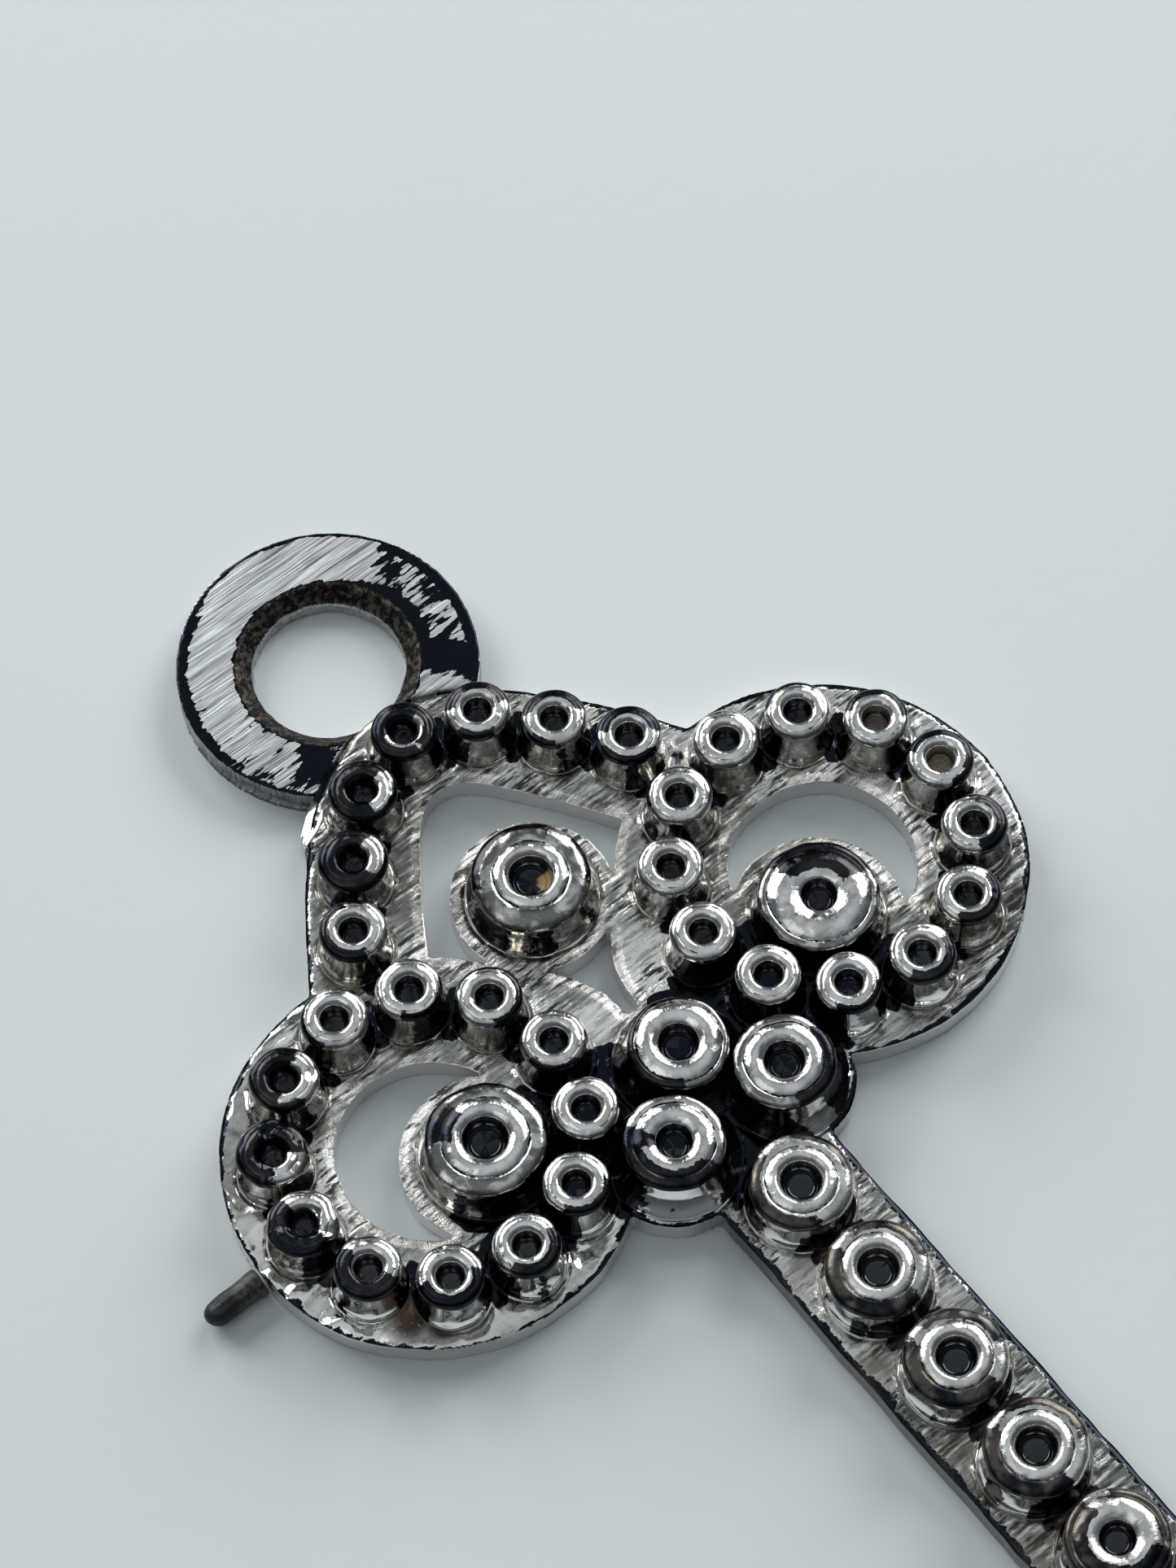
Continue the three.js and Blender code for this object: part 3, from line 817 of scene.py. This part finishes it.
def make_plate():
    node = "key_plate"
    points, normals, faces = fine_copy(node, 0.07)
    depth = PLATE_TOP - points[:, 2]
    walls = np.flatnonzero((np.abs(normals[:, 2]) < 0.5) & (depth < 0.3))
    outside = on_outside(points, walls)
    outer_away = outline_distance(points, walls[outside])
    inner_away = outline_distance(points, walls[~outside])
    rim = np.minimum(outer_away, inner_away)
    flat = np.column_stack([points[:, :2], np.zeros(len(points))])
    near = gaps(points)
    top = ramp(normals[:, 2], 0.3, 0.8) * ramp(depth, 0.35, 0.12)
    # The left lobe's outer border looks melted.
    lobe_away = away_from(points, -LOBE_X, BOW_Y)
    lobe_turn = np.degrees(np.arctan2(points[:, 1] - BOW_Y, points[:, 0] + LOBE_X))
    melted = ramp(lobe_away, PITCH + 0.2, PITCH + 0.7) * ramp(turned_from(lobe_turn, 205), 110, 85) * top
    melted *= lobe_away < PITCH + 1.9

    # The outline is filed by eye, so it wanders, and its walls are slightly lumpy.
    wander = 0.045 * noise(flat, 1.7, 11) + 0.025 * noise(flat, 0.5, 12)
    side = 1.0 - np.abs(normals[:, 2])
    points[:, :2] += normals[:, :2] * (wander * side)[:, None]
    # A groove runs round each foot, the low ground between feet is lumpy and the land is almost flat.
    groove = -0.07 * np.exp(-((near[:, 0] - 0.03) / 0.045) ** 2)
    low_ground = ramp(near[:, 0], 0.45, 0.05)
    lumpy = low_ground * (0.035 * noise(flat, 0.45, 13) + 0.02 * noise(flat, 0.2, 14))
    molten = melted * (0.11 * noise(flat, 0.75, 16) + 0.05 * noise(flat, 0.4, 17) - 0.03)
    scored = 0.010 * noise(flat * SCORES, 0.3, 15)
    fall = -0.05 * ramp(rim, 0.14, 0.0)
    points[:, 2] += top * (groove + lumpy + np.minimum(molten, 0.015) + scored + fall - 0.02)

    piece = new_piece("key_plate_filed", points, faces, node)
    piece.data.materials.append(plate_material())
    on_shaft = ramp(points[:, 1], 0.8, -0.6)
    paint(piece, "rim", rim + 1.5 * ramp(depth, 0.04, 0.3) - 0.05 * on_shaft)
    under_ring = (away_from(points, 0.0, RING_Y) < RING_RADIUS) & (points[:, 0] > -1.6)
    paint(piece, "outer", ramp(outer_away, 0.5, 0.3) * ~under_ring)
    paint(piece, "inner", ramp(inner_away, 0.6, 0.4) * top)
    paint(piece, "side", 1.0 - ramp(normals[:, 2], 0.2, 0.6))
    paint(piece, "shade", on_shaft * ramp(np.abs(points[:, 0]), 3.0, 2.4))
    paint(piece, "land", ramp(near[:, 0], 0.02, 0.2) * top * (1.0 - 0.85 * melted))

    # Ground between crowded feet is black, and so is all the low ground in the middle of the bow: partly
    # plating, partly painted shade.
    crowded = 0.5 + (0.42 - near[:, 1]) / 0.6 - 0.8 * ramp(near[:, 0], 0.15, 0.7)
    ground = 1.2 * black_and_shaded_ground(points) * ramp(near[:, 0], 0.52, 0.2) * ramp(rim, 0.1, 0.4)
    paint(piece, "recess_black_and_shade", np.clip(np.maximum(crowded, ground), 0.0, 1.4) * top)

    # Random tone, with the patches of painted sheen and painted shade, and the melted border lighter.
    tone_and_sheen = 0.42 + 0.45 * noise(flat, 2.4, 18)
    for x, y, radius, change in PAINTED_SHEEN_AND_SHADE:
        tone_and_sheen += change * ramp(away_from(points, x, y), radius, radius * 0.4)
    paint(piece, "tone_and_sheen", tone_and_sheen + 0.35 * melted)

    # Brown grime: the stains, and the middle of the shaft where two feet meet.
    grime = np.zeros(len(points))
    for x, y, radius, strength in STAINS + between_shaft_studs():
        grime = np.maximum(grime, strength * ramp(away_from(points, x, y), radius, radius * 0.3) * top)
    contact = ramp(near[:, 1], 0.5, 0.15)
    contact *= ramp(points[:, 1], -1.0, -2.0) * ramp(np.abs(points[:, 0]), 1.6, 0.8)
    paint(piece, "grime", np.maximum(grime, 0.4 * contact * top))


# ------------------------------------------------------------------ the ring and the stub

def make_ring():
    node = "hanging_ring"
    points, normals, faces = fine_copy(node, 0.06)
    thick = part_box(node)[1].z / MM
    across = points[:, 0]
    along = points[:, 1] - RING_Y
    radius = np.hypot(across, along)
    angles = np.degrees(np.arctan2(along, across))
    spot = np.column_stack([points[:, :2], np.zeros(len(points))])

    # The ring is not quite round: it is widest towards 118 degrees and opposite that.
    side = 1.0 - np.abs(normals[:, 2])
    oval = -0.07 + 0.10 * np.cos(np.radians(2 * (angles - 118))) * ramp(radius, 3.2, 4.0)
    oval[radius < 3.2] = 0.0
    wander = oval + 0.05 * noise(spot, 1.9, 21) + 0.03 * noise(spot, 0.45, 22)
    rough = 0.03 * noise(points, 0.25, 23)
    bore_side = ramp(radius, 3.0, 2.6)
    points[:, :2] += normals[:, :2] * ((wander + rough * bore_side) * side)[:, None]
    top = ramp(normals[:, 2], 0.5, 0.9)
    dip = -0.03 * ramp(noise(spot, 1.1, 24), 0.0, 0.8)
    points[:, 2] += top * (dip + 0.008 * noise(spot * SCORES, 0.3, 25) - 0.01)

    # Unfiled black skin: the right-hand side of the top, the outer rim, the chamfer and a few patches.
    reach = 3.05 - 0.55 * ramp(angles, 5, 70) + 1.5 * ramp(angles, -22, -34)
    inner = 0.5 + (reach - radius) / 0.25
    strip = np.minimum(0.5 + (radius - 3.92) / 0.12, 0.5 + (32 - angles) / 10.0)
    streaked = 0.48 - 0.6 * ramp(angles, 24, 44)
    right = np.maximum.reduce([inner, strip, np.full(len(points), streaked)])
    right = np.minimum(right, 0.5 + (angles + 45) / 10.0)
    right = np.where(angles > 82, UNCOVERED, right)
    rim = 0.5 + (radius - 4.13) / 0.12
    rim_left = np.minimum(0.5 + (38 - turned_from(angles, 158)) / 20.0, 0.5 + (radius - 3.95) / 0.2)
    foot_patch = 0.5 + (0.75 - np.hypot(across + 2.1, along + 2.45)) / 0.9
    flecks = 0.4 - turned_from(angles, 222) / 200.0
    lip = 0.5 + (RING_BORE + RING_CHAMFER + 0.12 - radius) / 0.16
    skin = np.maximum.reduce([right, rim, rim_left, foot_patch, flecks, lip])
    skin = np.where(top > 0.5, skin, UNCOVERED)
    bevel = (radius < RING_BORE + RING_CHAMFER + 0.05) & (points[:, 2] > thick - RING_CHAMFER - 0.04)

    piece = new_piece("hanging_ring_filed", points, faces, node)
    piece.data.materials.append(ring_material())
    paint(piece, "skin", np.clip(skin, UNCOVERED, COVERED))
    paint(piece, "dull", bevel.astype(float))
    paint(piece, "bore", ((radius < 2.6) & ~bevel).astype(float))


def make_seam():
    """The bright wedge of solder at the left end of the seam between the ring and the crown of the bow."""
    outline = [
        (-2.80, 16.90), (-2.70, 16.48), (-3.02, 16.10), (-3.42, 15.86),
        (-4.02, 15.66), (-3.80, 16.20), (-3.32, 16.62),
    ]
    middle_x, middle_y = -3.33, 16.2
    bottom, top = 0.08, 0.70
    rows = []
    # The top tilts, and its edge is rounded off in two more rows, each smaller and higher.
    for lift, spread in ((0.0, 1.0), (0.05, 0.93), (0.065, 0.8)):
        for x, y in outline:
            across = (x - middle_x) * spread
            along = (y - middle_y) * spread
            tilt = (0.23 * across - 0.356 * along) / 0.906
            rows.append((middle_x + across, middle_y + along, top + tilt + lift))
    rows += [(x, y, bottom) for x, y in outline]
    count = len(outline)
    faces = [tuple(range(2 * count, 3 * count))[::-1], tuple(range(3 * count, 4 * count))]
    for low, high in ((3, 0), (0, 1), (1, 2)):
        for index in range(count):
            after = (index + 1) % count
            here, there = low * count, high * count
            faces.append((here + index, there + index, there + after, here + after))
    mesh = bpy.data.meshes.new("seam_solder")
    mesh.from_pydata((np.array(rows) * MM).tolist(), [], faces)
    solid = bmesh.new()
    solid.from_mesh(mesh)
    bmesh.ops.recalc_face_normals(solid, faces=solid.faces)
    solid.to_mesh(mesh)
    solid.free()
    piece = bpy.data.objects.new("seam_solder", mesh)
    bpy.context.scene.collection.objects.link(piece)
    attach(piece, "root")
    mesh.materials.append(solder_material())


def make_stub():
    node = "gate_stub"
    points, normals, faces = fine_copy(node, 0.05)
    points += normals * (0.04 * noise(points, 0.4, 31))[:, None]
    piece = new_piece("gate_stub_cast", points, faces, node)
    piece.data.materials.append(stub_material())
    away = away_from(points, -LOBE_X, BOW_Y)
    tip = away.max()
    paint(piece, "tip", ramp(away + 0.15 * noise(points, 0.3, 32), tip - 1.1, tip - 0.7))


# ------------------------------------------------------------------ the stage

DAYLIGHT = (0.98, 1.0, 1.0)
AIM = Vector((3.6, 12.7, 0.0))             # the point on the floor in the middle of the view
VIEW_AZIMUTH = -35.9
VIEW_ELEVATION = 62.3
VIEW_ROLL = -2.75
VIEW_DISTANCE = 141.6
FOCAL_LENGTH = 116.3
FLOOR_REACH = 600.0                        # from the middle of the floor to its edges


def toward(azimuth, elevation):
    """Unit vector from the object towards a viewer or a light, by its azimuth and elevation."""
    a, e = math.radians(azimuth), math.radians(elevation)
    return Vector((math.sin(a) * math.cos(e), -math.cos(a) * math.cos(e), math.sin(e)))


def add_panel(name, azimuth, elevation, distance, size, watts):
    """A rectangle of daylight in millimetres that faces the object."""
    data = bpy.data.lights.new(name, "AREA")
    data.shape = "RECTANGLE"
    data.size = size[0] * MM
    data.size_y = size[1] * MM
    data.energy = watts
    data.color = DAYLIGHT
    light = bpy.data.objects.new(name, data)
    bpy.context.scene.collection.objects.link(light)
    place = AIM + toward(azimuth, elevation) * distance
    light.location = place * MM
    light.rotation_euler = (AIM - place).to_track_quat("-Z", "Y").to_euler()


def make_camera():
    data = bpy.data.cameras.new("camera")
    data.lens = FOCAL_LENGTH
    data.clip_start = 0.005
    data.clip_end = 20.0
    camera = bpy.data.objects.new("camera", data)
    bpy.context.scene.collection.objects.link(camera)
    away = toward(VIEW_AZIMUTH, VIEW_ELEVATION)
    level = (-away).to_track_quat("-Z", "Y").to_matrix().to_4x4()
    roll = Matrix.Rotation(math.radians(VIEW_ROLL), 4, "Z")
    camera.matrix_world = Matrix.Translation((AIM + away * VIEW_DISTANCE) * MM) @ level @ roll
    bpy.context.scene.camera = camera


def make_stage():
    mesh = bpy.data.meshes.new("floor")
    corners = [Vector((x, y, 0)) * FLOOR_REACH * MM for x, y in ((-1, -1), (1, -1), (1, 1), (-1, 1))]
    mesh.from_pydata(corners, [], [(0, 1, 2, 3)])
    floor = bpy.data.objects.new("floor", mesh)
    bpy.context.scene.collection.objects.link(floor)
    mesh.materials.append(floor_material())

    # A dim room: dark walls near the horizon and a pale ceiling.
    world = bpy.data.worlds.new("room")
    world.use_nodes = True
    nodes, links = world.node_tree.nodes, world.node_tree.links
    directions = nodes.new("ShaderNodeTexCoord")
    parts = nodes.new("ShaderNodeSeparateXYZ")
    links.new(directions.outputs["Generated"], parts.inputs["Vector"])
    climb = nodes.new("ShaderNodeValToRGB")
    walls, ceiling = climb.color_ramp.elements
    walls.position, walls.color = 0.05, (0.035, 0.04, 0.045, 1.0)
    ceiling.position, ceiling.color = 0.95, (0.50, 0.54, 0.565, 1.0)
    climb.color_ramp.elements.new(0.7).color = (0.13, 0.145, 0.16, 1.0)
    links.new(parts.outputs["Z"], climb.inputs["Fac"])
    background = nodes["Background"]
    links.new(climb.outputs["Color"], background.inputs["Color"])
    background.inputs["Strength"].default_value = 1.0
    bpy.context.scene.world = world

    # Two windows beyond the object, to the left and to the right, and a soft panel on the viewer's left.
    beyond = VIEW_AZIMUTH + 180
    add_panel("window_left", beyond + 40, 29, 450, (310, 250), 1.5)
    add_panel("window_right", beyond - 36, 31, 450, (300, 250), 1.5)
    add_panel("ceiling", VIEW_AZIMUTH - 60, 50, 520, (300, 300), 0.18)
    bpy.context.scene.view_settings.view_transform = "Standard"


# ------------------------------------------------------------------ assembly

make_camera()
make_stage()
make_plate()
make_ring()
make_seam()
make_stub()
shared_stud_material = stud_material()
for order, stud_node in enumerate(STUDS):
    make_stud(stud_node, 100 + 7 * order, shared_stud_material)
